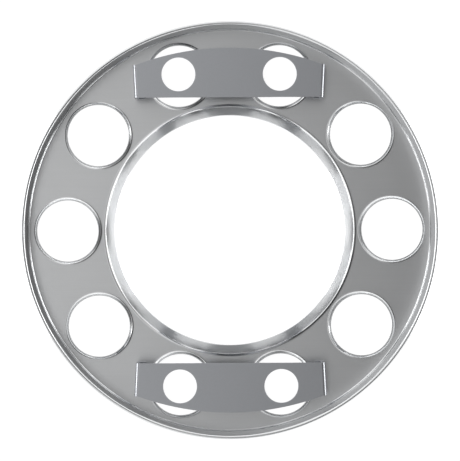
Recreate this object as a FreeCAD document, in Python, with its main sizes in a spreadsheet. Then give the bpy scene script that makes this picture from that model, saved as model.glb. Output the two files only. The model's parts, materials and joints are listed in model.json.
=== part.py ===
# Stainless trim ring for a ten-stud truck wheel, in millimetres.
# The show face lies down on z = 0, the wheel side is up, and the wheel's axis is Z.
import FreeCAD, Part
import math
import os

import Sketcher
from FreeCAD import Placement, Rotation, Vector

# Driving dimensions, one sheet row each
dimensions = {
    # Pressed ring
    "sheet_gauge": 1.0,
    "nut_circle_diameter": 335.0,
    "nut_hole_count": 10,
    "nut_hole_diameter": 63.0,
    "nut_collar_height": 4.2,
    "nut_collar_fillet": 3.0,
    "outer_land": 2.4,
    "outer_fold_radius": 2.5,
    "rim_draft_degrees": 4.0,
    "rim_height": 25.0,
    "rim_bead_diameter": 4.0,
    "hub_land": 1.0,
    "hub_fold_radius": 5.0,
    "hub_lip_lean_degrees": 40.0,
    "hub_lip_height": 13.5,
    # Stand-off brackets
    "bracket_gauge": 2.5,
    "bracket_seat_height": 22.0,
    "bracket_crown_margin": 9.75,
    "bracket_end_width": 33.6,
    "bracket_overhang": 45.1,
    "bracket_taper_degrees": 3.0,
    "bracket_bend_radius": 1.5,
    "foot_clearance": 1.0,
    "stud_hole_diameter": 34.5,
    "stud_edge_distance": 23.6,
}

# Sizes that several features share, as sheet formulas
nut_circle_radius = "sizes.nut_circle_diameter / 2"
nut_collar_base = "(sizes.nut_hole_diameter / 2 + sizes.sheet_gauge + sizes.nut_collar_fillet)"
stud_half_angle = "(180 deg / sizes.nut_hole_count)"
stud_across = f"({nut_circle_radius} * sin{stud_half_angle})"
stud_out = f"({nut_circle_radius} * cos{stud_half_angle})"
bend_outer_radius = "(sizes.bracket_bend_radius + sizes.bracket_gauge)"
bracket_edge = f"({stud_out} - sizes.stud_edge_distance)"
bracket_crest = f"({stud_out} + sizes.stud_hole_diameter / 2 + sizes.bracket_crown_margin)"
bracket_flat_end = f"({stud_across} + sizes.bracket_overhang - {bend_outer_radius})"
bracket_slope = "tan(sizes.bracket_taper_degrees * 1 deg)"

# Sketch elements: the origin point, the two axes, and the ends and centre of a piece
origin = (-1, 1)
across_axis = -1
upright_axis = -2
start, end, centre = range(1, 4)

# Flats that stand for each round bend of the thin sheet, so that the long bends stay light
fold_flat_count = 2
bead_flat_count = 6
bead_inside_flat_count = 3
collar_flat_count = 1


def make_sheet(doc):
    sheet = doc.addObject("Spreadsheet::Sheet", "sizes")
    for row, (name, value) in enumerate(dimensions.items(), start=1):
        sheet.set(f"A{row}", name)
        sheet.set(f"B{row}", str(value))
        sheet.setAlias(f"B{row}", name)
    doc.recompute()


def origin_feature(body, role):
    return next(item for item in body.Origin.OriginFeatures if item.Role == role)


def new_sketch(body, name, plane):
    sketch = body.newObject("Sketcher::SketchObject", name)
    sketch.AttachmentSupport = [(origin_feature(body, plane), "")]
    sketch.MapMode = "FlatFace"
    return sketch


def add_line(sketch, first, last, construction=False):
    return sketch.addGeometry(Part.LineSegment(Vector(*first, 0), Vector(*last, 0)), construction)


def add_circle(sketch, middle, radius):
    return sketch.addGeometry(Part.Circle(Vector(*middle, 0), Vector(0, 0, 1), radius), False)


def add_arc(sketch, middle, radius, first_degrees, last_degrees, construction=False):
    circle = Part.Circle(Vector(*middle, 0), Vector(0, 0, 1), radius)
    bend = Part.ArcOfCircle(circle, math.radians(first_degrees), math.radians(last_degrees))
    return sketch.addGeometry(bend, construction)


def tie(sketch, kind, *elements):
    sketch.addConstraint(Sketcher.Constraint(kind, *elements))


def drive(sketch, name, formula, kind, *elements):
    # The last element only starts the solver, the formula then sets the size
    index = sketch.addConstraint(Sketcher.Constraint(kind, *elements))
    sketch.renameConstraint(index, name)
    sketch.setExpression(f"Constraints.{name}", formula)


def polar(middle, radius, degrees):
    angle = math.radians(degrees)
    return (middle[0] + radius * math.cos(angle), middle[1] + radius * math.sin(angle))


def along(point, degrees, height):
    # The point at that height on a line through the first point
    return (point[0] + (height - point[1]) / math.tan(math.radians(degrees)), height)


def add_bend(sketch, middle, radius, first_degrees, last_degrees, flat_count):
    # A true arc carries the bend's radius, and equal flats between points on it carry the sheet
    arc = add_arc(sketch, middle, radius, first_degrees, last_degrees, construction=True)
    step = (last_degrees - first_degrees) / flat_count
    places = [polar(middle, radius, first_degrees + step * number) for number in range(flat_count + 1)]
    flats = [add_line(sketch, *pair) for pair in zip(places, places[1:])]
    tie(sketch, "Coincident", arc, start, flats[0], start)
    tie(sketch, "Coincident", arc, end, flats[-1], end)
    for flat, following in zip(flats, flats[1:]):
        tie(sketch, "Coincident", flat, end, following, start)
        tie(sketch, "PointOnObject", flat, end, arc)
        tie(sketch, "Equal", flat, following)
    return arc


def ring_section(body):
    # One closed line round the sheet: down the lip, along the face, up the wall, over the bead and back
    sketch = new_sketch(body, "ring_section", "XZ_Plane")
    value = dimensions
    gauge = value["sheet_gauge"]
    hub_fold, outer_fold = value["hub_fold_radius"], value["outer_fold_radius"]
    bead = value["rim_bead_diameter"] / 2
    collar = value["nut_hole_diameter"] / 2 + gauge + value["nut_collar_fillet"]
    wall_angle = 90 - value["rim_draft_degrees"]
    lip_angle = 90 + value["hub_lip_lean_degrees"]

    # Places that start the solver
    hub_bend = (value["nut_circle_diameter"] / 2 - collar - value["hub_land"], gauge + hub_fold)
    outer_bend = (value["nut_circle_diameter"] / 2 + collar + value["outer_land"], gauge + outer_fold)
    lip_foot = polar(hub_bend, hub_fold, lip_angle + 90)
    lip_foot_under = polar(hub_bend, hub_fold + gauge, lip_angle + 90)
    lip_top = along(lip_foot, lip_angle, value["hub_lip_height"])
    lip_top_under = polar(lip_top, gauge, lip_angle + 90)
    wall_foot = polar(outer_bend, outer_fold, wall_angle - 90)
    wall_foot_outside = polar(outer_bend, outer_fold + gauge, wall_angle - 90)
    bead_line = polar(wall_foot, bead, wall_angle - 90)
    bead_centre = along(bead_line, wall_angle, value["rim_height"] - bead)
    curl_end = wall_angle - 180

    lip = add_line(sketch, lip_top, lip_foot)
    hub_arc = add_bend(sketch, hub_bend, hub_fold, lip_angle + 90, 270, fold_flat_count)
    face = add_line(sketch, (hub_bend[0], gauge), (outer_bend[0], gauge))
    outer_arc = add_bend(sketch, outer_bend, outer_fold, 270, wall_angle + 270, fold_flat_count)
    wall = add_line(sketch, wall_foot, polar(bead_centre, bead, wall_angle + 90))
    curl = add_bend(sketch, bead_centre, bead, curl_end, wall_angle + 90, bead_flat_count)
    curl_edge = add_line(sketch, polar(bead_centre, bead, curl_end),
                         polar(bead_centre, bead - gauge, curl_end))
    curl_inside = add_bend(sketch, bead_centre, bead - gauge, curl_end, wall_angle + 90,
                           bead_inside_flat_count)
    wall_outside = add_line(sketch, polar(bead_centre, bead - gauge, wall_angle + 90), wall_foot_outside)
    outer_arc_outside = add_bend(sketch, outer_bend, outer_fold + gauge, 270, wall_angle + 270,
                                 fold_flat_count)
    face_under = add_line(sketch, (outer_bend[0], 0), (hub_bend[0], 0))
    hub_arc_under = add_bend(sketch, hub_bend, hub_fold + gauge, lip_angle + 90, 270, fold_flat_count)
    lip_under = add_line(sketch, lip_foot_under, lip_top_under)
    lip_edge = add_line(sketch, lip_top_under, lip_top)

    # Both skins run smoothly through every bend
    tie(sketch, "Tangent", lip, end, hub_arc, start)
    tie(sketch, "Tangent", hub_arc, end, face, start)
    tie(sketch, "Tangent", face, end, outer_arc, start)
    tie(sketch, "Tangent", outer_arc, end, wall, start)
    tie(sketch, "Tangent", wall, end, curl, end)
    tie(sketch, "Coincident", curl, start, curl_edge, start)
    tie(sketch, "Coincident", curl_edge, end, curl_inside, start)
    tie(sketch, "Tangent", curl_inside, end, wall_outside, start)
    tie(sketch, "Tangent", wall_outside, end, outer_arc_outside, end)
    tie(sketch, "Tangent", outer_arc_outside, start, face_under, start)
    tie(sketch, "Tangent", face_under, end, hub_arc_under, end)
    tie(sketch, "Tangent", hub_arc_under, start, lip_under, start)
    tie(sketch, "Coincident", lip_under, end, lip_edge, start)
    tie(sketch, "Coincident", lip_edge, end, lip, start)
    tie(sketch, "Coincident", hub_arc, centre, hub_arc_under, centre)
    tie(sketch, "Coincident", outer_arc, centre, outer_arc_outside, centre)
    tie(sketch, "Coincident", curl, centre, curl_inside, centre)
    tie(sketch, "Horizontal", face)
    tie(sketch, "Parallel", lip, lip_under)
    tie(sketch, "Perpendicular", lip_edge, lip_under)
    tie(sketch, "Parallel", curl_edge, wall)
    tie(sketch, "PointOnObject", curl, centre, curl_edge)

    # Sizes, with the folds a land's width from the nut collars
    hub_start = f"{nut_circle_radius} - {nut_collar_base} - sizes.hub_land"
    outer_start = f"{nut_circle_radius} + {nut_collar_base} + sizes.outer_land"
    bead_radius = "sizes.rim_bead_diameter / 2"
    drive(sketch, "face_gauge", "sizes.sheet_gauge", "DistanceY", *origin, face, start, gauge)
    drive(sketch, "hub_start", hub_start, "DistanceX", *origin, face, start, hub_bend[0])
    drive(sketch, "outer_start", outer_start, "DistanceX", *origin, face, end, outer_bend[0])
    drive(sketch, "hub_fold", "sizes.hub_fold_radius", "Radius", hub_arc, hub_fold)
    drive(sketch, "hub_fold_under", "sizes.hub_fold_radius + sizes.sheet_gauge",
          "Radius", hub_arc_under, hub_fold + gauge)
    drive(sketch, "outer_fold", "sizes.outer_fold_radius", "Radius", outer_arc, outer_fold)
    drive(sketch, "outer_fold_outside", "sizes.outer_fold_radius + sizes.sheet_gauge",
          "Radius", outer_arc_outside, outer_fold + gauge)
    drive(sketch, "bead_radius", bead_radius, "Radius", curl, bead)
    drive(sketch, "bead_inside", f"{bead_radius} - sizes.sheet_gauge", "Radius", curl_inside, bead - gauge)
    drive(sketch, "bead_height", f"sizes.rim_height - {bead_radius}",
          "DistanceY", *origin, curl, centre, bead_centre[1])
    drive(sketch, "lip_height", "sizes.hub_lip_height", "DistanceY", *origin, lip, start, lip_top[1])
    drive(sketch, "wall_angle", "(90 - sizes.rim_draft_degrees) * 1 deg",
          "Angle", wall, math.radians(wall_angle))
    drive(sketch, "lip_angle", "(90 + sizes.hub_lip_lean_degrees) * 1 deg",
          "Angle", lip_under, math.radians(lip_angle))
    return sketch


def nut_hole_blank(body):
    # Round cut that takes the flat sheet out from under one collar
    sketch = new_sketch(body, "nut_hole_blank", "XY_Plane")
    radius = dimensions["nut_hole_diameter"] / 2
    place = dimensions["nut_circle_diameter"] / 2
    circle = add_circle(sketch, (place, 0), radius)
    tie(sketch, "PointOnObject", circle, centre, across_axis)
    drive(sketch, "place", nut_circle_radius, "DistanceX", *origin, circle, centre, place)
    drive(sketch, "base", nut_collar_base, "Radius", circle, radius)
    return sketch


def nut_collar_section(body):
    # Sheet turned up round one nut hole, with its own upright axis as the first construction line
    sketch = new_sketch(body, "nut_collar_section", "XZ_Plane")
    value = dimensions
    gauge, fillet, height = value["sheet_gauge"], value["nut_collar_fillet"], value["nut_collar_height"]
    place = value["nut_circle_diameter"] / 2
    inside = place + value["nut_hole_diameter"] / 2
    bend = (inside + gauge + fillet, gauge + fillet)

    axis = add_line(sketch, (place, 0), (place, height), construction=True)
    base = add_line(sketch, (bend[0], 0), (bend[0], gauge))
    fillet_arc = add_bend(sketch, bend, fillet, 180, 270, collar_flat_count)
    outside_wall = add_line(sketch, (inside + gauge, bend[1]), (inside + gauge, height))
    top = add_line(sketch, (inside + gauge, height), (inside, height))
    inside_wall = add_line(sketch, (inside, height), (inside, bend[1]))
    mouth_arc = add_bend(sketch, bend, fillet + gauge, 180, 270, collar_flat_count)

    tie(sketch, "Vertical", axis)
    tie(sketch, "PointOnObject", axis, start, across_axis)
    tie(sketch, "PointOnObject", base, start, across_axis)
    tie(sketch, "Vertical", base)
    tie(sketch, "Coincident", base, end, fillet_arc, end)
    tie(sketch, "Tangent", fillet_arc, start, outside_wall, start)
    tie(sketch, "Coincident", outside_wall, end, top, start)
    tie(sketch, "Horizontal", top)
    tie(sketch, "Coincident", top, end, inside_wall, start)
    tie(sketch, "Vertical", inside_wall)
    tie(sketch, "Tangent", inside_wall, end, mouth_arc, start)
    tie(sketch, "Coincident", mouth_arc, end, base, start)
    tie(sketch, "Coincident", fillet_arc, centre, mouth_arc, centre)
    tie(sketch, "PointOnObject", fillet_arc, centre, base)
    tie(sketch, "Vertical", outside_wall)
    drive(sketch, "place", nut_circle_radius, "DistanceX", *origin, axis, start, place)
    drive(sketch, "axis_length", "sizes.nut_collar_height", "DistanceY", axis, start, axis, end, height)
    drive(sketch, "clear_radius", "sizes.nut_hole_diameter / 2",
          "DistanceX", axis, start, inside_wall, start, inside - place)
    drive(sketch, "fillet", "sizes.nut_collar_fillet", "Radius", fillet_arc, fillet)
    drive(sketch, "mouth", "sizes.nut_collar_fillet + sizes.sheet_gauge", "Radius", mouth_arc, fillet + gauge)
    drive(sketch, "height", "sizes.nut_collar_height", "DistanceY", *origin, top, start, height)
    return sketch


def make_trim_ring(doc):
    body = doc.addObject("PartDesign::Body", "trim_ring")
    body.Label = "trim_ring"

    section = ring_section(body)
    pressing = body.newObject("PartDesign::Revolution", "pressing")
    pressing.Profile = section
    pressing.ReferenceAxis = (section, ["V_Axis"])
    pressing.Angle = 360
    doc.recompute()

    blank = nut_hole_blank(body)
    hole = body.newObject("PartDesign::Pocket", "nut_hole")
    hole.Profile = blank
    hole.Type = "ThroughAll"
    hole.SideType = "Symmetric"
    doc.recompute()

    collar_section = nut_collar_section(body)
    collar = body.newObject("PartDesign::Revolution", "nut_collar")
    collar.Profile = collar_section
    collar.ReferenceAxis = (collar_section, ["Axis0"])
    collar.Angle = 360
    doc.recompute()

    holes = body.newObject("PartDesign::PolarPattern", "nut_holes")
    holes.Originals = [hole, collar]
    holes.Axis = (origin_feature(body, "Z_Axis"), [""])
    holes.Angle = 360
    holes.setExpression("Occurrences", "sizes.nut_hole_count")
    body.Tip = holes
    doc.recompute()
    return body


def bracket_plan(body):
    # Flat of the bracket seen from the wheel: straight edge, tapered ends, crowned outer edge, two stud holes
    sketch = new_sketch(body, "bracket_plan", "XY_Plane")
    sketch.setExpression("AttachmentOffset.Base.z", "sizes.bracket_seat_height")
    value = dimensions
    half_angle = math.radians(180 / value["nut_hole_count"])
    studs = polar((0, 0), value["nut_circle_diameter"] / 2, 90 - math.degrees(half_angle))
    low = studs[1] - value["stud_edge_distance"]
    high = low + value["bracket_end_width"]
    crest = studs[1] + value["stud_hole_diameter"] / 2 + value["bracket_crown_margin"]
    flat_end = studs[0] + value["bracket_overhang"] - value["bracket_bend_radius"] - value["bracket_gauge"]
    taper = value["bracket_taper_degrees"]
    corner = flat_end + value["bracket_end_width"] * math.tan(math.radians(taper))
    crown_radius = ((crest - high) ** 2 + corner ** 2) / (2 * (crest - high))
    crown_centre = (0, crest - crown_radius)
    crown_angle = math.degrees(math.atan2(high - crown_centre[1], corner))

    edge = add_line(sketch, (-flat_end, low), (flat_end, low))
    right_end = add_line(sketch, (flat_end, low), (corner, high))
    crown = add_arc(sketch, crown_centre, crown_radius, crown_angle, 180 - crown_angle)
    left_end = add_line(sketch, (-corner, high), (-flat_end, low))
    crest_point = sketch.addGeometry(Part.Point(Vector(0, crest, 0)), True)
    right_stud = add_circle(sketch, studs, value["stud_hole_diameter"] / 2)
    left_stud = add_circle(sketch, (-studs[0], studs[1]), value["stud_hole_diameter"] / 2)

    tie(sketch, "Coincident", edge, end, right_end, start)
    tie(sketch, "Coincident", right_end, end, crown, start)
    tie(sketch, "Coincident", crown, end, left_end, start)
    tie(sketch, "Coincident", left_end, end, edge, start)
    tie(sketch, "Symmetric", edge, start, edge, end, upright_axis)
    tie(sketch, "PointOnObject", crown, centre, upright_axis)
    tie(sketch, "Horizontal", crown, start, crown, end)
    tie(sketch, "PointOnObject", crest_point, start, upright_axis)
    tie(sketch, "PointOnObject", crest_point, start, crown)
    tie(sketch, "Symmetric", right_stud, centre, left_stud, centre, upright_axis)
    tie(sketch, "Equal", right_stud, left_stud)
    drive(sketch, "edge_place", bracket_edge, "DistanceY", *origin, edge, end, low)
    drive(sketch, "flat_end", bracket_flat_end, "DistanceX", *origin, edge, end, flat_end)
    drive(sketch, "end_width", "sizes.bracket_end_width",
          "DistanceY", right_end, start, right_end, end, high - low)
    drive(sketch, "crest", bracket_crest, "DistanceY", *origin, crest_point, start, crest)
    drive(sketch, "taper", "(90 - sizes.bracket_taper_degrees) * 1 deg",
          "Angle", right_end, math.radians(90 - taper))
    drive(sketch, "stud_across", stud_across, "DistanceX", *origin, right_stud, centre, studs[0])
    drive(sketch, "stud_out", stud_out, "DistanceY", *origin, right_stud, centre, studs[1])
    drive(sketch, "stud_hole", "sizes.stud_hole_diameter",
          "Diameter", right_stud, value["stud_hole_diameter"])
    return sketch


def bracket_end_section(body):
    # Bent end in the plane of the straight edge: bend down, leg, bend in, foot on the ring's face
    sketch = new_sketch(body, "bracket_end_section", "XZ_Plane")
    sketch.setExpression("AttachmentOffset.Base.z", f"-{bracket_edge}")
    value = dimensions
    gauge, inner = value["bracket_gauge"], value["bracket_bend_radius"]
    outer = inner + gauge
    stud_place = value["nut_circle_diameter"] / 2 * math.sin(math.radians(180 / value["nut_hole_count"]))
    flat_end = stud_place + value["bracket_overhang"] - outer
    seat, floor = value["bracket_seat_height"], value["sheet_gauge"]
    foot_tip = flat_end - gauge

    joint = add_line(sketch, (flat_end, seat - gauge), (flat_end, seat))
    upper_outside = add_arc(sketch, (flat_end, seat - outer), outer, 0, 90)
    leg_outside = add_line(sketch, (flat_end + outer, seat - outer), (flat_end + outer, floor + outer))
    lower_outside = add_arc(sketch, (flat_end, floor + outer), outer, 270, 360)
    sole = add_line(sketch, (flat_end, floor), (foot_tip, floor))
    tip = add_line(sketch, (foot_tip, floor), (foot_tip, floor + gauge))
    instep = add_line(sketch, (foot_tip, floor + gauge), (flat_end, floor + gauge))
    lower_inside = add_arc(sketch, (flat_end, floor + outer), inner, 270, 360)
    leg_inside = add_line(sketch, (flat_end + inner, floor + outer), (flat_end + inner, seat - outer))
    upper_inside = add_arc(sketch, (flat_end, seat - outer), inner, 0, 90)

    tie(sketch, "Vertical", joint)
    tie(sketch, "Coincident", joint, end, upper_outside, end)
    tie(sketch, "Tangent", upper_outside, start, leg_outside, start)
    tie(sketch, "Tangent", leg_outside, end, lower_outside, end)
    tie(sketch, "Tangent", lower_outside, start, sole, start)
    tie(sketch, "Coincident", sole, end, tip, start)
    tie(sketch, "Coincident", tip, end, instep, start)
    tie(sketch, "Tangent", instep, end, lower_inside, start)
    tie(sketch, "Tangent", lower_inside, end, leg_inside, start)
    tie(sketch, "Tangent", leg_inside, end, upper_inside, start)
    tie(sketch, "Coincident", upper_inside, end, joint, start)
    tie(sketch, "Coincident", upper_outside, centre, upper_inside, centre)
    tie(sketch, "Coincident", lower_outside, centre, lower_inside, centre)
    tie(sketch, "PointOnObject", upper_outside, centre, joint)
    tie(sketch, "Vertical", leg_outside)
    tie(sketch, "Horizontal", sole)
    tie(sketch, "Horizontal", instep)
    tie(sketch, "Vertical", tip)
    foot_tip_place = (f"{stud_across} + {nut_collar_base} + sizes.foot_clearance"
                      f" - sizes.stud_edge_distance * {bracket_slope}")
    drive(sketch, "flat_end", bracket_flat_end, "DistanceX", *origin, joint, end, flat_end)
    drive(sketch, "seat", "sizes.bracket_seat_height", "DistanceY", *origin, joint, end, seat)
    drive(sketch, "floor", "sizes.sheet_gauge", "DistanceY", *origin, sole, start, floor)
    drive(sketch, "upper_outside", bend_outer_radius, "Radius", upper_outside, outer)
    drive(sketch, "upper_inside", "sizes.bracket_bend_radius", "Radius", upper_inside, inner)
    drive(sketch, "lower_outside", bend_outer_radius, "Radius", lower_outside, outer)
    drive(sketch, "lower_inside", "sizes.bracket_bend_radius", "Radius", lower_inside, inner)
    drive(sketch, "foot_tip", foot_tip_place, "DistanceX", *origin, tip, start, foot_tip)
    return sketch


def make_bracket(doc, name, turn_degrees):
    body = doc.addObject("PartDesign::Body", name)
    body.Label = name

    plan = bracket_plan(body)
    plate = body.newObject("PartDesign::Pad", "plate")
    plate.Profile = plan
    plate.Reversed = True
    plate.setExpression("Length", "sizes.bracket_gauge")
    doc.recompute()

    end_section = bracket_end_section(body)
    bent_end = body.newObject("PartDesign::Pad", "bent_end")
    bent_end.Profile = end_section
    bent_end.UseCustomVector = True
    bent_end.AlongSketchNormal = True
    bent_end.setExpression("Direction.x", "sin(sizes.bracket_taper_degrees * 1 deg)")
    bent_end.setExpression("Direction.y", "cos(sizes.bracket_taper_degrees * 1 deg)")
    bent_end.Direction.z = 0
    bent_end.setExpression("Length", "sizes.bracket_end_width")
    doc.recompute()

    ends = body.newObject("PartDesign::Mirrored", "bent_ends")
    ends.Originals = [bent_end]
    ends.MirrorPlane = (origin_feature(body, "YZ_Plane"), [""])
    body.Tip = ends
    body.Placement = Placement(Vector(0, 0, 0), Rotation(Vector(0, 0, 1), turn_degrees))
    doc.recompute()
    return body


def check(doc, bodies):
    for item in doc.Objects:
        if "Invalid" in item.State or "Error" in item.State:
            raise RuntimeError(f"{item.Name} failed: {item.State}")
        if item.TypeId == "Sketcher::SketchObject" and not item.FullyConstrained:
            raise RuntimeError(f"{item.Name} is not fully constrained")
    for body in bodies:
        if body.Shape.isNull() or not body.Shape.isValid() or len(body.Shape.Solids) != 1:
            raise RuntimeError(f"{body.Label} is not one valid solid")


def main():
    doc = FreeCAD.newDocument("wheel_trim_ring")
    make_sheet(doc)
    bodies = [
        make_trim_ring(doc),
        make_bracket(doc, "upper_bracket", 0),
        make_bracket(doc, "lower_bracket", 180),
    ]
    check(doc, bodies)
    os.makedirs("parts", exist_ok=True)
    for body in bodies:
        body.Shape.exportStep(f"parts/{body.Label}.step")
        print(f"{body.Label}: {body.Shape.Volume / 1000:.2f} cm3")


main()
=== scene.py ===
import json
from math import atan, cos, pi, radians, sin, tan

import bmesh
import bpy
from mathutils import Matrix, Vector


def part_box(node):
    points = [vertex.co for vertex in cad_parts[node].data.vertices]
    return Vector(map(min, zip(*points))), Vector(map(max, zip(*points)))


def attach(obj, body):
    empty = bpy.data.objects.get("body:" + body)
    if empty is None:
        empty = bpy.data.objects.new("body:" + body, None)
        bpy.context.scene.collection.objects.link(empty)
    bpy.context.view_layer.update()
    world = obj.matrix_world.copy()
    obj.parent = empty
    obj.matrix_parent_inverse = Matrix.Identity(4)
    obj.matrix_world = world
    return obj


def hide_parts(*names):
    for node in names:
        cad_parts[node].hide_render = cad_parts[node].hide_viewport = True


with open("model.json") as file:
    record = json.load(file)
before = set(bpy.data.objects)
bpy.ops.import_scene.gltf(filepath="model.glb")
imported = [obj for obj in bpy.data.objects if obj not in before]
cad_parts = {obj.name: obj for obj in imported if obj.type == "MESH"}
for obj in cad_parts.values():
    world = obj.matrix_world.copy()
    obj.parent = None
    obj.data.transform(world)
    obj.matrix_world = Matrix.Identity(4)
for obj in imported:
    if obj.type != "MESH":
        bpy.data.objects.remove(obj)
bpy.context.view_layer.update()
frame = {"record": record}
scene = bpy.context.scene
scene.view_settings.view_transform = "Standard"
mm = 0.001
up = Vector((0, 0, 1))
samePlace = 0.01 * mm        # points nearer than this count as one place
sameWay = 0.99               # cosine from which two directions count as one
mergeReach = 0.002 * mm


# small helpers for modelling by hand
def deselectAll():
    if bpy.context.mode != "OBJECT":
        bpy.ops.object.mode_set(mode="OBJECT")
    bpy.ops.object.select_all(action="DESELECT")


def selectOnly(piece):
    deselectAll()
    piece.select_set(True)
    bpy.context.view_layer.objects.active = piece


def drawLine(name, places):
    # a plane merged to one point, then pulled from place to place
    deselectAll()
    bpy.ops.mesh.primitive_plane_add(size=mm, location=places[0])
    piece = bpy.context.active_object
    piece.name = piece.data.name = name
    bpy.ops.object.transform_apply(location=True, rotation=True, scale=True)
    bpy.ops.object.mode_set(mode="EDIT")
    bpy.ops.mesh.select_mode(type="VERT")
    bpy.ops.mesh.select_all(action="SELECT")
    bpy.ops.mesh.merge(type="CENTER")
    for here, there in zip(places, places[1:]):
        move = Vector(there) - Vector(here)
        bpy.ops.mesh.extrude_vertices_move(TRANSFORM_OT_translate={"value": move})
    return piece


def middleOf(part):
    return sum((corner.co for corner in part.verts), Vector()) / len(part.verts)


def pick(piece, kind, test):
    # selects what passes the test: points, edges or faces of the piece being edited
    bpy.ops.mesh.select_mode(type=kind)
    bpy.ops.mesh.select_all(action="DESELECT")
    mesh = bmesh.from_edit_mesh(piece.data)
    parts = {"VERT": mesh.verts, "EDGE": mesh.edges, "FACE": mesh.faces}[kind]
    chosen = [part for part in parts if test(part)]
    for part in chosen:
        part.select_set(True)
    mesh.select_flush_mode()
    bmesh.update_edit_mesh(piece.data)
    return len(chosen)


def pickPoint(piece, place):
    pick(piece, "VERT", lambda part: (part.co - Vector(place)).length < samePlace)


def roundCorner(piece, place, reach, steps):
    # reach is how far the rounding runs back along each side of the corner
    pickPoint(piece, place)
    bpy.ops.mesh.bevel(offset_type="ABSOLUTE", offset=reach, segments=steps, profile=0.5, affect="VERTICES")


def extrudeBy(move):
    bpy.ops.mesh.extrude_region_move(TRANSFORM_OT_translate={"value": move})


def spinSelected(centre, axis, angle, steps):
    # the operator turns clockwise about its axis, so the angle is given the other way
    bpy.ops.mesh.spin(steps=steps, angle=-angle, center=centre, axis=axis)


def spinAllRound(centre, steps):
    bpy.ops.mesh.select_all(action="SELECT")
    spinSelected(centre, up, 2 * pi, steps)


def mergePoints():
    bpy.ops.mesh.select_mode(type="VERT")
    bpy.ops.mesh.select_all(action="SELECT")
    bpy.ops.mesh.remove_doubles(threshold=mergeReach)


def joinAll(pieces):
    selectOnly(pieces[0])
    for piece in pieces[1:]:
        piece.select_set(True)
    bpy.ops.object.join()
    return pieces[0]


def useModifier(piece, kind, **settings):
    selectOnly(piece)
    modifier = piece.modifiers.new(kind.lower(), kind)
    for name, value in settings.items():
        setattr(modifier, name, value)
    bpy.ops.object.modifier_apply(modifier=modifier.name)


def roundEdges(piece, width, angle):
    useModifier(piece, "BEVEL", width=width, segments=3, limit_method="ANGLE", angle_limit=radians(angle))


def smoothMetal(piece, angle):
    # flats keep flat reflections right up to the bends beside them
    selectOnly(piece)
    bpy.ops.object.shade_smooth_by_angle(angle=radians(angle))
    useModifier(piece, "WEIGHTED_NORMAL", keep_sharp=True, weight=80)


# pressed ring
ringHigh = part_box("trim_ring")[1]
ringSheet = {
    "gauge": 1.0 * mm,
    "nutHoles": 10,
    "nutCircle": 167.5 * mm,     # radius
    "nutHole": 31.5 * mm,        # clear radius
    "collarHeight": 4.2 * mm,
    "collarBend": 3.0 * mm,      # reach of the bend on the wheel side
    "hubLand": 1.0 * mm,         # flat sheet from the collars to the hub fold
    "outerLand": 2.4 * mm,       # and to where the rim's section starts
    "hubBend": 5.0 * mm,         # radius on the wheel side
    "outerBend": 1.5 * mm,       # the same, tight so that the light line along it stays thin
    "bendMargin": 0.45 * mm,     # narrow flat beside each bend
    "lipLean": 40,               # degrees off upright
    "lipHeight": 13.5 * mm,
    "wallDraft": 4,              # degrees off upright
    "bead": 2.0 * mm,            # radius of the curled edge
    "curl": 270,                 # degrees that the edge is rolled through
    "curlStep": 12,              # degrees, about, for each flat of the curl
    "shearedEdge": 0.40 * mm,    # tumbled round, so little flat is left on cut edges
    "shearedAngle": 60,          # degrees, edges that turn more are cut ones
    "smoothAngle": 40,           # degrees, edges that turn more stay crisp
    "roundSteps": 360,
    "holeSteps": 96,
    "bendSteps": 8,
}


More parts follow.
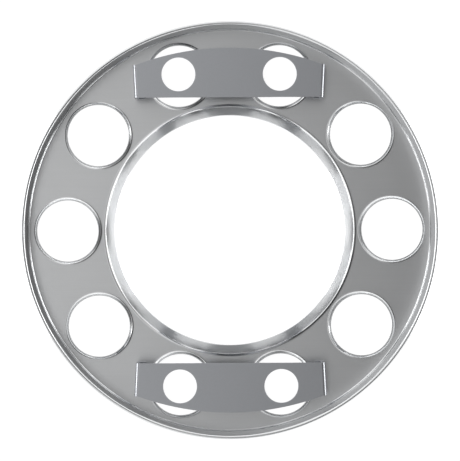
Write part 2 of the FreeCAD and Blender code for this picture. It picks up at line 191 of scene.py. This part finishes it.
def makeRing(size):
    face = size["gauge"]
    collar = size["nutHole"] + size["gauge"] + size["collarBend"]
    flatStart = size["nutCircle"] - collar - size["hubLand"]
    flatEnd = size["nutCircle"] + collar + size["outerLand"]
    margin = size["bendMargin"]

    # hub lip: down the lean, round the fold and onto the face
    hubReach = size["hubBend"] * tan(radians(90 - size["lipLean"]) / 2)
    hubCorner = flatStart - hubReach
    lipTop = hubCorner - (size["lipHeight"] - face) * tan(radians(size["lipLean"]))
    lip = drawLine("hubLip", [(lipTop, 0, size["lipHeight"]), (hubCorner, 0, face),
                              (flatStart + margin, 0, face)])
    roundCorner(lip, (hubCorner, 0, face), hubReach, size["bendSteps"])
    spinAllRound((0, 0, 0), size["roundSteps"])

    # rim: off the face, round the fold, up the drafted wall and over the curl
    draft = radians(size["wallDraft"])
    beadCentre = Vector((ringHigh.x - size["bead"], 0, ringHigh.z - size["bead"]))
    wallTop = beadCentre + size["bead"] * Vector((-cos(draft), 0, sin(draft)))
    outerCorner = wallTop.x - (wallTop.z - face) * tan(draft)
    outerReach = size["outerBend"] * tan((radians(90) - draft) / 2)
    rim = drawLine("rim", [(flatEnd - margin, 0, face), (outerCorner, 0, face), wallTop])
    pickPoint(rim, wallTop)
    spinSelected(beadCentre, (0, 1, 0), radians(size["curl"]), size["curl"] // size["curlStep"])
    roundCorner(rim, (outerCorner, 0, face), outerReach, size["bendSteps"])
    spinAllRound((0, 0, 0), size["roundSteps"])

    # one nut hole's collar, then copies of it round the ring
    holeX = size["nutCircle"]
    wallX = holeX + size["nutHole"] + size["gauge"]
    collars = drawLine("nutCollars", [(wallX, 0, size["collarHeight"]), (wallX, 0, face),
                                      (holeX + collar + margin, 0, face)])
    roundCorner(collars, (wallX, 0, face), size["collarBend"], size["bendSteps"])
    spinAllRound((holeX, 0, 0), size["holeSteps"])
    bpy.ops.mesh.select_all(action="SELECT")
    copies = size["nutHoles"] - 1
    lastTurn = 2 * pi * copies / size["nutHoles"]
    bpy.ops.mesh.spin(steps=copies, dupli=True, angle=lastTurn, center=(0, 0, 0), axis=up)

    ring = joinAll([lip, rim, collars])
    ring.name = ring.data.name = "trimRing"
    bpy.ops.object.mode_set(mode="EDIT")
    mergePoints()

    # flat face between the twelve open rims that lie on it
    rims = pick(ring, "EDGE",
                lambda part: part.is_boundary and abs(middleOf(part).z - face) < samePlace)
    bpy.ops.mesh.fill(use_beauty=True)
    mergePoints()
    bpy.ops.mesh.normals_make_consistent(inside=False)
    mesh = bmesh.from_edit_mesh(ring.data)
    facing = sum(part.normal.z * part.calc_area() for part in mesh.faces)
    if facing < 0:
        bpy.ops.mesh.flip_normals()
    bpy.ops.object.mode_set(mode="OBJECT")
    print("ring sheet drawn:", rims, "rim edges,", len(ring.data.polygons), "faces, facing", round(facing, 4))

    # sheet thickness goes to the show side, then cut edges lose their sharpness
    useModifier(ring, "SOLIDIFY", thickness=size["gauge"], offset=-1, use_even_offset=True,
                use_quality_normals=True)
    roundEdges(ring, size["shearedEdge"], size["shearedAngle"])
    smoothMetal(ring, size["smoothAngle"])
    return ring


ring = makeRing(ringSheet)
print("ring done:", len(ring.data.polygons), "faces")

# stand-off brackets
plateLow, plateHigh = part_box("upper_bracket")
studHoles = next(mount for mount in frame["record"]["mounts"] if mount["name"] == "stud_holes")["dims"]
bracketPlate = {
    "gauge": 2.5 * mm,
    "bend": 1.5 * mm,            # inside radius
    "endWidth": 33.6 * mm,
    "taper": 3,                  # degrees that the ends lean in plan
    "footLength": 5.8 * mm,
    "studHole": studHoles["hole_r_mm"] * mm,
    "studX": studHoles["spacing_x_mm"] / 2 * mm,
    "studY": studHoles["spacing_y_mm"] / 2 * mm,
    "punchLength": 10.0 * mm,    # well through the plate
    "edge": 0.5 * mm,            # rolled-over blanked edges
    "edgeAngle": 40,             # degrees, edges that turn more are blanked ones
    "smoothAngle": 40,           # degrees, edges that turn more stay crisp
    "crownSteps": 40,
    "bendSteps": 8,
    "holeSteps": 96,
}


def makeBracket(size):
    seat, sole = plateHigh.z, plateLow.z
    under = seat - size["gauge"]
    slope = tan(radians(size["taper"]))
    edgeY, crestY = plateLow.y, plateHigh.y
    endY = edgeY + size["endWidth"]
    outside = size["bend"] + size["gauge"]
    legLength = under - size["bend"] - sole - outside
    cornerX = plateHigh.x - outside
    flatX = cornerX - size["endWidth"] * slope
    rise = crestY - endY
    crownRadius = (cornerX ** 2 + rise ** 2) / (2 * rise)
    sweep = 4 * atan(rise / cornerX)

    # plan of the flat, filled and given its thickness
    bracket = drawLine("upperBracket", [(-flatX, edgeY, under), (flatX, edgeY, under),
                                        (cornerX, endY, under)])
    spinSelected((0, crestY - crownRadius, under), up, sweep, size["crownSteps"])
    bpy.ops.mesh.select_all(action="SELECT")
    bpy.ops.mesh.edge_face_add()
    extrudeBy((0, 0, size["gauge"]))
    bpy.ops.mesh.select_all(action="SELECT")
    bpy.ops.mesh.normals_make_consistent(inside=False)

    # each end is rolled down, run down the leg, rolled under and run out as a foot
    for side in (1, -1):
        line = Vector((side * slope, 1, 0)).normalized()
        outward = Vector((side, -slope, 0)).normalized()
        pick(bracket, "FACE",
             lambda part: part.normal.dot(outward) > sameWay and middleOf(part).x * side > flatX)
        spinSelected((side * flatX, edgeY, under - size["bend"]), line * side, pi / 2, size["bendSteps"])
        extrudeBy((0, 0, -legLength))
        spinSelected((side * flatX, edgeY, sole + outside), line * side, pi / 2, size["bendSteps"])
        extrudeBy(-outward * size["footLength"])
    mergePoints()
    bpy.ops.mesh.normals_make_consistent(inside=False)

    # stud holes punched through the flat
    for side in (1, -1):
        deselectAll()
        place = (side * size["studX"], size["studY"], under)
        bpy.ops.mesh.primitive_cylinder_add(vertices=size["holeSteps"], radius=size["studHole"],
                                            depth=size["punchLength"], location=place)
        punch = bpy.context.active_object
        useModifier(bracket, "BOOLEAN", operation="DIFFERENCE", solver="EXACT", object=punch)
        bpy.data.objects.remove(punch)
    roundEdges(bracket, size["edge"], size["edgeAngle"])
    smoothMetal(bracket, size["smoothAngle"])
    return bracket


bracket = makeBracket(bracketPlate)
selectOnly(bracket)
bpy.ops.object.duplicate()                   # its own mesh, turned half round the wheel's axis
lowerBracket = bpy.context.active_object
lowerBracket.name = lowerBracket.data.name = "lowerBracket"
bpy.ops.transform.rotate(value=pi, orient_axis="Z", center_override=(0, 0, 0))
bpy.ops.object.transform_apply(location=True, rotation=True, scale=True)
print("brackets done:", len(bracket.data.polygons), "faces each")

# finishes
colourA, colourB, colourOut = 6, 7, 2        # sockets of a Mix node that is set to colours
numberA, numberB = 2, 3                      # and of one that is set to numbers


def linearColour(code):
    # sRGB hex to linear
    parts = [int(code[place:place + 2], 16) / 255 for place in (1, 3, 5)]
    return [part / 12.92 if part <= 0.04045 else ((part + 0.055) / 1.055) ** 2.4 for part in parts] + [1]


def perMm(sizes):
    return [1 / (size * mm) for size in sizes]


def addNode(tree, kind, links=None, stops=None, **settings):
    # links holds sockets or plain values, stops the greys of a ramp by their places
    node = tree.nodes.new(kind)
    for name, value in settings.items():
        setattr(node, name, value)
    for socket, value in (links or {}).items():
        if isinstance(value, bpy.types.NodeSocket):
            tree.links.new(value, node.inputs[socket])
        else:
            node.inputs[socket].default_value = value
    for index, (place, grey) in enumerate(sorted((stops or {}).items())):
        points = node.color_ramp.elements
        point = points[index] if index < 2 else points.new(place)    # a new ramp has two points
        point.position = place
        point.color = (grey, grey, grey, 1)
    return node


def newMaterial(name):
    material = bpy.data.materials.new(name)
    material.use_nodes = True
    material.node_tree.nodes.clear()
    return material, material.node_tree


# how steeply a surface stands, 0 for a face that looks down, 0.5 for upright, 1 for one that looks up
def steepness(tree):
    facing = addNode(tree, "ShaderNodeTexCoord").outputs["Normal"]
    height = addNode(tree, "ShaderNodeSeparateXYZ", {0: facing}).outputs["Z"]
    steep = addNode(tree, "ShaderNodeMapRange", {"Value": height, "From Min": -1.0, "From Max": 1.0})
    return steep.outputs["Result"]


# what both metals share: gloss that drifts in soft clouds, a shallow grain and the bare metal
def bareMetal(tree, look, colour, polish, grain):
    place = addNode(tree, "ShaderNodeTexCoord").outputs["Object"]
    cloudy = addNode(tree, "ShaderNodeMapping", {"Vector": place, "Scale": perMm(look["clouds"])})
    clouds = addNode(tree, "ShaderNodeTexNoise", {"Vector": cloudy.outputs[0], "Scale": 1.0, "Detail": 2.0})
    drift = addNode(tree, "ShaderNodeMapRange", {
        "Value": clouds.outputs["Fac"], "From Min": 0.3, "From Max": 0.7,
        "To Min": -look["drift"], "To Max": look["drift"]})
    gloss = addNode(tree, "ShaderNodeMath", {0: polish, 1: drift.outputs["Result"]}, operation="ADD")
    bump = addNode(tree, "ShaderNodeBump", {
        "Height": grain, "Strength": look["grain"], "Distance": look["grainDepth"]})
    shader = addNode(tree, "ShaderNodeBsdfPrincipled", {
        "Base Color": colour, "Metallic": 1.0, "Roughness": gloss.outputs[0], "Normal": bump.outputs[0]})
    addNode(tree, "ShaderNodeOutputMaterial", {"Surface": shader.outputs[0]})


# cold-rolled stainless sheet: satin on the face and the lip, burnished glossier by the die in the bends,
# polished on the show side, with cloudy gloss and faint rolling lines; a painted sheen lightens every surface
# that does not face straight up
sheetLook = {
    "tints": ("#cecfd0", "#d3d4d5"),
    # painted sheen: a lighter tint for every surface that does not face straight up
    "paintedSheenTint": "#dadbdc",
    "drawn": {0.97: 1.0, 0.998: 0.0},        # painted sheen by steepness, as the roughness is: full on all but the up-facing flats
    "roughness": {
        0.0: 0.12, 0.52: 0.13, 0.78: 0.14,
        0.80: 0.36, 0.84: 0.36,              # lean of the lip
        0.86: 0.14, 0.97: 0.15, 0.998: 0.36,
    },
    "lines": (60, 1.6, 1.6),     # mm, far finer in the real sheet and drawn this wide so that they show
    "clouds": (38, 30, 30),      # mm
    "drift": 0.01,
    "grain": 0.02,
    "grainDepth": 0.05 * mm,
}


def stainlessSheet(look):
    material, tree = newMaterial("stainlessSheet")
    place = addNode(tree, "ShaderNodeTexCoord").outputs["Object"]
    rolled = addNode(tree, "ShaderNodeMapping", {"Vector": place, "Scale": perMm(look["lines"])})
    lines = addNode(tree, "ShaderNodeTexNoise", {"Vector": rolled.outputs[0], "Scale": 1.0, "Detail": 3.0})
    darker, lighter = [linearColour(code) for code in look["tints"]]
    tint = addNode(tree, "ShaderNodeMix", {
        "Factor": lines.outputs["Fac"], colourA: darker, colourB: lighter}, data_type="RGBA")
    steep = steepness(tree)
    # painted sheen: every surface that does not face straight up is mixed toward the lighter tint
    drawn = addNode(tree, "ShaderNodeValToRGB", {"Fac": steep}, look["drawn"])
    bright = addNode(tree, "ShaderNodeMix", {
        "Factor": drawn.outputs["Color"], colourA: tint.outputs[colourOut],
        colourB: linearColour(look["paintedSheenTint"])}, data_type="RGBA")
    polish = addNode(tree, "ShaderNodeValToRGB", {"Fac": steep}, look["roughness"])
    bareMetal(tree, look, bright.outputs[colourOut], polish.outputs["Color"], lines.outputs["Fac"])
    return material


# pickled steel plate: a shade darker and bluer than the sheet, dull on the flats and glossier where the press
# has stretched the bends, with a speckle from the acid
plateLook = {
    "tints": ("#aeb0b4", "#b5b7bb"),
    "roughness": {0.01: 0.36, 0.03: 0.28, 0.97: 0.28, 0.99: 0.36},      # by steepness
    "speckle": (1.4, 1.4, 1.4),  # mm, finer in the real plate and drawn this coarse so that it shows
    "clouds": (25, 25, 25),      # mm
    "drift": 0.01,
    "grain": 0.03,
    "grainDepth": 0.05 * mm,
}


def pickledPlate(look):
    material, tree = newMaterial("pickledPlate")
    place = addNode(tree, "ShaderNodeTexCoord").outputs["Object"]
    etched = addNode(tree, "ShaderNodeMapping", {"Vector": place, "Scale": perMm(look["speckle"])})
    speckle = addNode(tree, "ShaderNodeTexNoise", {"Vector": etched.outputs[0], "Scale": 1.0, "Detail": 2.0})
    darker, lighter = [linearColour(code) for code in look["tints"]]
    tint = addNode(tree, "ShaderNodeMix", {
        "Factor": speckle.outputs["Fac"], colourA: darker, colourB: lighter}, data_type="RGBA")
    polish = addNode(tree, "ShaderNodeValToRGB", {"Fac": steepness(tree)}, look["roughness"])
    bareMetal(tree, look, tint.outputs[colourOut], polish.outputs["Color"], speckle.outputs["Fac"])
    return material


sheetFinish, plateFinish = stainlessSheet(sheetLook), pickledPlate(plateLook)
for piece, finish, node, slotName in (
        (ring, sheetFinish, "trim_ring", "stainless_sheet"),
        (bracket, plateFinish, "upper_bracket", "bracket_plate"),
        (lowerBracket, plateFinish, "lower_bracket", "bracket_plate")):
    piece.data.materials.clear()
    piece.data.materials.append(finish)
    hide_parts(node)
    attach(piece, "root")
print("finishes done")

# studio: pale floor, a white tent under a darker lid with a lit strip in it, two long low lamps
studio = {
    "floorSize": 12.0,
    "floorLevel": -0.2 * mm,
    "floorPaint": "#dcdcdc",     # plain paint, for light that is neither seen nor mirrored
    "floorShade": "#6f6f6f",     # part of the white, seen or mirrored, that takes shadows
    "floorWhite": 0.94,          # part of it that shadows leave
    "sideRise": {0.0: 0.75, 0.15: 1.0},      # tent's brightness by sine of the height
    "sideLight": (1.3, 1.45),    # front and back, left and right
    "sideTurn": (0.05, 0.5),     # how far to the left or right the change runs
    "lidUp": (0.04, -0.22, 1.0),             # hangs lower at the front
    "lidEdge": (0.54, 0.70),     # sine of the height where the lid begins
    "lidSide": (-0.98, 0.05, 0.0),           # from its right edge to its left
    "lidFade": {                 # lit strip left of the middle
        0.0: 0.0, 0.3: 0.02, 0.45: 0.16, 0.5: 0.32, 0.56: 0.58,
        0.62: 0.70, 0.68: 0.58, 0.76: 0.2, 0.85: 0.04,
    },
    "lidLight": 1.55,
    "lamps": {                   # turn and height in degrees
        "leftStrip": {"turn": 178, "height": 10, "bright": 3.6},
        "rightStrip": {"turn": 2, "height": 10, "bright": 3.6},
    },
    "lampWide": 2.4,
    "lampTall": 0.6,
    "lampReach": 2.0,            # from the object's middle
}
white = (1, 1, 1, 1)


def layFloor():
    deselectAll()
    bpy.ops.mesh.primitive_plane_add(size=studio["floorSize"], location=(0, 0, studio["floorLevel"]))
    floor = bpy.context.active_object
    floor.name = "floor"
    bpy.ops.object.transform_apply(location=True, rotation=True, scale=True)
    material, tree = newMaterial("studioFloor")
    ray = addNode(tree, "ShaderNodeLightPath").outputs
    seen = addNode(tree, "ShaderNodeMath", {
        0: ray["Is Camera Ray"], 1: ray["Is Glossy Ray"]}, operation="MAXIMUM")
    seen = addNode(tree, "ShaderNodeMath", {
        0: seen.outputs[0], 1: ray["Is Transmission Ray"]}, operation="MAXIMUM")
    paint = addNode(tree, "ShaderNodeBsdfDiffuse", {"Color": linearColour(studio["floorPaint"])})
    shade = addNode(tree, "ShaderNodeBsdfDiffuse", {"Color": linearColour(studio["floorShade"])})
    glow = addNode(tree, "ShaderNodeEmission", {"Color": white, "Strength": studio["floorWhite"]})
    pale = addNode(tree, "ShaderNodeAddShader", {0: shade.outputs[0], 1: glow.outputs[0]})
    both = addNode(tree, "ShaderNodeMixShader", {0: seen.outputs[0], 1: paint.outputs[0], 2: pale.outputs[0]})
    addNode(tree, "ShaderNodeOutputMaterial", {"Surface": both.outputs[0]})
    floor.data.materials.append(material)


def hangTent():
    tent = bpy.data.worlds.new("tent")
    scene.world = tent
    tent.use_nodes = True
    tree = tent.node_tree
    tree.nodes.clear()
    way = addNode(tree, "ShaderNodeTexCoord").outputs["Generated"]

    # sides: dimmer near the floor, brighter to the left and right
    axes = addNode(tree, "ShaderNodeSeparateXYZ", {0: way}).outputs
    rise = addNode(tree, "ShaderNodeValToRGB", {"Fac": axes["Z"]}, studio["sideRise"])
    aside = addNode(tree, "ShaderNodeMath", {0: axes["X"]}, operation="ABSOLUTE")
    turnStart, turnEnd = studio["sideTurn"]
    endLight, sideLight = studio["sideLight"]
    walls = addNode(tree, "ShaderNodeMapRange", {
        "Value": aside.outputs[0], "From Min": turnStart, "From Max": turnEnd,
        "To Min": endLight, "To Max": sideLight})
    sides = addNode(tree, "ShaderNodeMath", {
        0: rise.outputs["Color"], 1: walls.outputs["Result"]}, operation="MULTIPLY")

    # lid, with its lit strip
    towards = addNode(tree, "ShaderNodeVectorMath", {0: way, 1: studio["lidSide"]}, operation="DOT_PRODUCT")
    across = addNode(tree, "ShaderNodeMapRange", {
        "Value": towards.outputs["Value"], "From Min": -1.0, "From Max": 1.0})
    fade = addNode(tree, "ShaderNodeValToRGB", {"Fac": across.outputs["Result"]}, studio["lidFade"])
    lid = addNode(tree, "ShaderNodeMath", {
        0: fade.outputs["Color"], 1: studio["lidLight"]}, operation="MULTIPLY")

    lidStart, lidFull = studio["lidEdge"]
    above = addNode(tree, "ShaderNodeVectorMath", {0: way, 1: studio["lidUp"]}, operation="DOT_PRODUCT")
    share = addNode(tree, "ShaderNodeMapRange", {
        "Value": above.outputs["Value"], "From Min": lidStart, "From Max": lidFull})
    light = addNode(tree, "ShaderNodeMix", {
        "Factor": share.outputs["Result"], numberA: sides.outputs[0], numberB: lid.outputs[0]})
    cloth = addNode(tree, "ShaderNodeBackground", {"Color": white, "Strength": light.outputs[0]})
    addNode(tree, "ShaderNodeOutputWorld", {"Surface": cloth.outputs[0]})


def placeLamps():
    for name, lamp in studio["lamps"].items():
        turn, height = radians(lamp["turn"]), radians(lamp["height"])
        place = studio["lampReach"] * Vector((cos(height) * cos(turn), cos(height) * sin(turn), sin(height)))
        deselectAll()
        bpy.ops.object.light_add(type="AREA", location=place)
        light = bpy.context.active_object
        light.name = name
        light.data.shape = "RECTANGLE"
        light.data.size = studio["lampWide"]
        light.data.size_y = studio["lampTall"]
        light.data.energy = pi * studio["lampWide"] * studio["lampTall"] * lamp["bright"]    # in watts
        light.rotation_euler = (-place).to_track_quat("-Z", "Y").to_euler()


layFloor()
hangTent()
placeLamps()

# camera straight above the wheel side
shot = {
    "height": 1422.5 * mm,
    "levelSeen": 5.5 * mm,       # height at which the frame's width is measured
    "frameWidth": 475.0 * mm,
    "offCentre": (0.1 * mm, -0.4 * mm),
    "roll": -0.3,                # degrees
    "sensor": 36,                # mm, as the lens is
}
deselectAll()
bpy.ops.object.camera_add(location=(*shot["offCentre"], shot["height"]),
                          rotation=(0, 0, radians(shot["roll"])))
camera = bpy.context.active_object
camera.data.sensor_fit = "HORIZONTAL"
camera.data.sensor_width = shot["sensor"]
camera.data.lens = shot["sensor"] * (shot["height"] - shot["levelSeen"]) / shot["frameWidth"]
scene.camera = camera
print("studio done")
